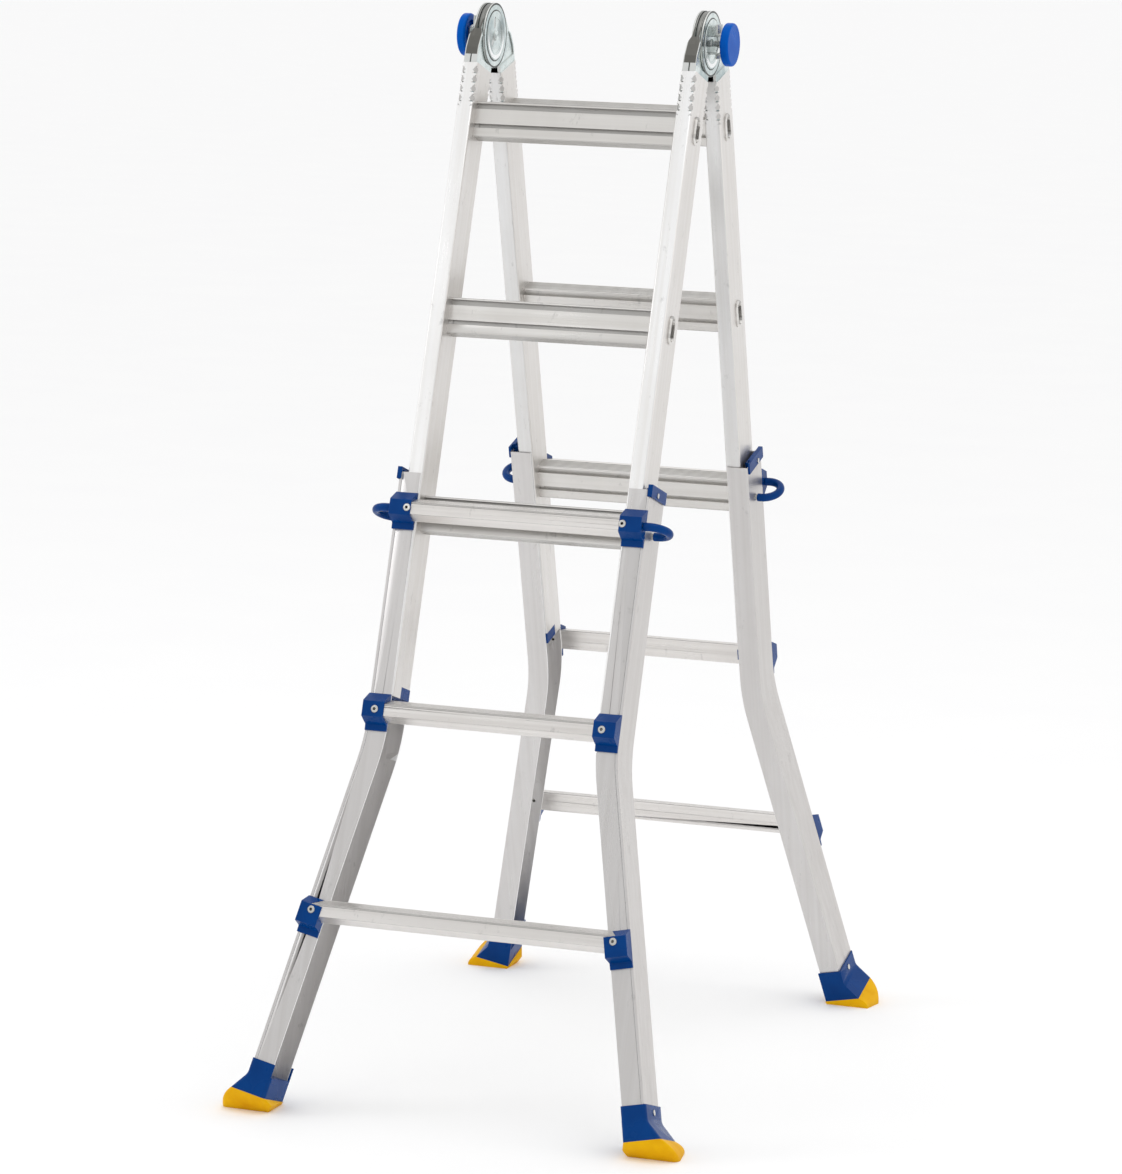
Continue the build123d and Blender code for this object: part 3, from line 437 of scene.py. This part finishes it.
def moulded_plastic(name, base, deep, roughness, specular):
    """Injection-moulded plastic: fine grain, faint flow marks and light scuffs."""
    sh = Shader(name, IOR=1.48, Specular_IOR_Level=specular)
    place = sh.position()
    flow = sh.noise(place, 22.0, detail=3.0, rough=0.55)
    grain = sh.noise(place, 1500.0, detail=2.0, rough=0.6)
    scuff = sh.noise(place, 170.0, 5.0, 0.75, stretch=(1, 1, 0.35), offset=(0.6, 0.3, 0.2))
    colour = sh.mix(sh.ramp(flow, 0.35, 0.7), base, deep)
    colour = sh.mix(sh.ramp(scuff, 0.66, 0.8, to_high=0.22), colour, BLUE_SCUFF)
    sh.set("Base Color", colour)
    sh.set("Roughness", sh.ramp(flow, 0.3, 0.7, roughness, roughness + 0.14))
    sh.bump(grain, strength=0.12, distance=0.0002)
    sh.bump(flow, strength=0.06, distance=0.001)
    return sh.material


def sole_rubber(name):
    """Yellow rubber, darker in specks towards the bottom."""
    sh = Shader(name, IOR=1.5, Specular_IOR_Level=0.1)
    place = sh.position()
    height = sh.split(place)[2]
    flow = sh.noise(place, 26.0, detail=4.0, rough=0.6)
    grain = sh.noise(place, 900.0, detail=3.0, rough=0.65)
    colour = sh.mix(sh.ramp(flow, 0.35, 0.7), SOLE_YELLOW, SOLE_DEEP)
    # Darker in specks within 8 mm of the floor.
    low_down = sh.ramp(height, 0.0, 0.008, to_low=1.0, to_high=0.0)
    low_dark = sh.times(low_down, sh.ramp(grain, 0.35, 0.65), 0.35)
    sh.set("Base Color", sh.mix(low_dark, colour, SOLE_LOW_DARK))
    sh.set("Roughness", sh.ramp(flow, 0.3, 0.7, to_low=0.42, to_high=0.6))
    sh.bump(grain, strength=0.2, distance=0.0004)
    return sh.material


MATERIALS = {
    "stile_aluminium": drawn_metal(
        "stile_aluminium", rgb(248, 248, 248), rgb(232, 230, 227), "s", stile_shade, side=0.38
    ),
    "channel_aluminium": drawn_metal(
        "channel_aluminium", rgb(212, 210, 209), rgb(198, 195, 193), "s", channel_shade,
        side=0.15, inside=0.9,
    ),
    "rung_aluminium": drawn_metal(
        "rung_aluminium", rgb(224, 222, 219), rgb(202, 199, 194), "x", rung_shade
    ),
    "tread_aluminium": drawn_metal(
        "tread_aluminium", rgb(231, 228, 225), rgb(212, 208, 204), "x", tread_shade
    ),
    "zinc_steel": zinc_metal("zinc_steel"),
    "rivet_steel": bright_steel("rivet_steel", rgb(214, 213, 209), 0.2, hollow=True),
    "rod_steel": bright_steel("rod_steel", rgb(205, 208, 206), 0.22),
    "spring_steel": bright_steel("spring_steel", rgb(190, 192, 190), 0.28),
    "blue_plastic": moulded_plastic(
        "blue_plastic", rgb(0, 60, 126), rgb(0, 52, 114), roughness=0.22, specular=0.1
    ),
    "knob_plastic": moulded_plastic(
        "knob_plastic", rgb(0, 88, 184), rgb(0, 78, 170), roughness=0.24, specular=0.05
    ),
    "sole_rubber": sole_rubber("sole_rubber"),
}
for name, node in NODES.items():
    node.data.materials.clear()
    node.data.materials.append(MATERIALS[SLOT_OF[name]])

# ---------------------------------------------------------------- small edge radii
EDGE_WIDTH = {
    "stile_aluminium": 0.0004,
    "rung_aluminium": 0.0004,
    "tread_aluminium": 0.0005,
    "channel_aluminium": 0.0003,
    "blue_plastic": 0.0007,
    "sole_rubber": 0.0012,
    "zinc_steel": 0.00025,
}
WELD_DISTANCE = 0.00001
SHARPER_THAN = math.radians(35)
for name, node in NODES.items():
    width = EDGE_WIDTH.get(SLOT_OF[name])
    if width is None or "grip" in name:
        continue
    weld = node.modifiers.new("weld", "WELD")
    weld.merge_threshold = WELD_DISTANCE
    bevel = node.modifiers.new("edge", "BEVEL")
    bevel.width = width
    bevel.segments = 2
    bevel.limit_method = "ANGLE"
    bevel.angle_limit = SHARPER_THAN
    bevel.use_clamp_overlap = True
    bevel.harden_normals = True


# ---------------------------------------------------------------- springs
def coil_for(joint, row):
    """A copy of the coil, with a mesh of its own, that rides with its joint's moving piece in
    place of the rigid one.
    """
    name = row["node"]
    coil = bpy.data.objects.new(name + "_coil", NODES[name].data.copy())
    bpy.context.scene.collection.objects.link(coil)
    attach(coil, joint["child"])
    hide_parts(name)
    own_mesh(coil)


for joint in JOINTS.values():
    for row in joint.get("deforming_nodes", []):
        coil_for(joint, row)

# ---------------------------------------------------------------- stage
FLOOR_SIZE = 400.0
FLOOR_PALE, FLOOR_DEEP = (0.97, 0.97, 0.97, 1), (0.96, 0.96, 0.963, 1)
bpy.ops.mesh.primitive_plane_add(size=FLOOR_SIZE, location=(0, 0, 0))
floor = bpy.context.object
floor.name = "floor"
paint = Shader("floor_paint", Roughness=0.9, Specular_IOR_Level=0.2)
speck = paint.noise(paint.position(), 3.0, detail=3.0)
paint.set("Base Color", paint.mix(paint.ramp(speck, 0.3, 0.7), FLOOR_PALE, FLOOR_DEEP))
floor.data.materials.append(paint.material)

# A pale studio: brightest overhead, a little darker towards the camera's side of the ladder.
SKY_BY_HEIGHT = (0.94, 1.09)
SKY_BY_DEPTH = (-0.22, 0.10)
world = bpy.data.worlds.new("studio")
bpy.context.scene.world = world
world.use_nodes = True
tree = world.node_tree
background = tree.nodes["Background"]
coord = tree.nodes.new("ShaderNodeTexCoord")
parts = tree.nodes.new("ShaderNodeSeparateXYZ")
tree.links.new(coord.outputs["Generated"], parts.inputs[0])


def graded(axis, start, low, high):
    """Strength that runs from low at start to high at 1 along one direction of the sky."""
    node = tree.nodes.new("ShaderNodeMapRange")
    node.inputs["From Min"].default_value = start
    node.inputs["From Max"].default_value = 1.0
    node.inputs["To Min"].default_value = low
    node.inputs["To Max"].default_value = high
    tree.links.new(parts.outputs[axis], node.inputs["Value"])
    return node.outputs["Result"]


total = tree.nodes.new("ShaderNodeMath")
total.operation = "ADD"
tree.links.new(graded("Z", 0.0, *SKY_BY_HEIGHT), total.inputs[0])
tree.links.new(graded("Y", -1.0, *SKY_BY_DEPTH), total.inputs[1])
tree.links.new(total.outputs[0], background.inputs["Strength"])
background.inputs["Color"].default_value = (1.0, 1.0, 1.0, 1.0)

LIGHTS_AIM = Vector((0.0, 0.0, 0.75))


def soft_box(name, place, size, power, colour):
    data = bpy.data.lights.new(name, "AREA")
    data.shape = "RECTANGLE"
    data.size, data.size_y = size
    data.energy = power
    data.color = colour
    lamp = bpy.data.objects.new(name, data)
    bpy.context.scene.collection.objects.link(lamp)
    lamp.location = place
    lamp.rotation_euler = (LIGHTS_AIM - Vector(place)).to_track_quat("-Z", "Y").to_euler()


soft_box("key", (-4.2, -2.0, 3.0), size=(1.6, 2.4), power=20.0, colour=(0.97, 0.98, 1.0))
soft_box("fill", (4.0, 0.4, 2.2), size=(1.6, 2.6), power=8.0, colour=(1.0, 0.95, 0.88))
soft_box("top", (0.6, -0.8, 4.4), size=(2.0, 2.0), power=14.0, colour=(1.0, 1.0, 1.0))
soft_box("sparkle", (-1.6, -3.7, 2.8), size=(0.5, 0.9), power=1.5, colour=(1.0, 1.0, 1.0))

# ---------------------------------------------------------------- camera
# From the fit of the photo: angles, target and distance in metres, focal length in pixels.
AZIMUTH = math.radians(19.33)
ELEVATION = math.radians(8.56)
ROLL = math.radians(1.643)
DISTANCE = 6.534
TARGET = Vector((-0.0269, -0.0109, 0.6770))
FOCAL = 4604.0
IMAGE_HEIGHT = 1174.0
SENSOR = 36.0

back = Vector((
    math.sin(AZIMUTH) * math.cos(ELEVATION),
    -math.cos(AZIMUTH) * math.cos(ELEVATION),
    math.sin(ELEVATION),
))
level_right = (-back).cross(Vector((0, 0, 1))).normalized()
level_up = level_right.cross(-back)
right = level_right * math.cos(ROLL) + level_up * math.sin(ROLL)
up = level_up * math.cos(ROLL) - level_right * math.sin(ROLL)
camera_data = bpy.data.cameras.new("camera")
camera_data.sensor_width = SENSOR
camera_data.lens = FOCAL / IMAGE_HEIGHT * SENSOR
camera_data.clip_end = FLOOR_SIZE
camera = bpy.data.objects.new("camera", camera_data)
bpy.context.scene.collection.objects.link(camera)
pose = Matrix((right, up, back)).transposed().to_4x4()
pose.translation = TARGET + back * DISTANCE
camera.matrix_world = pose
bpy.context.scene.camera = camera
bpy.context.scene.view_settings.view_transform = "Standard"
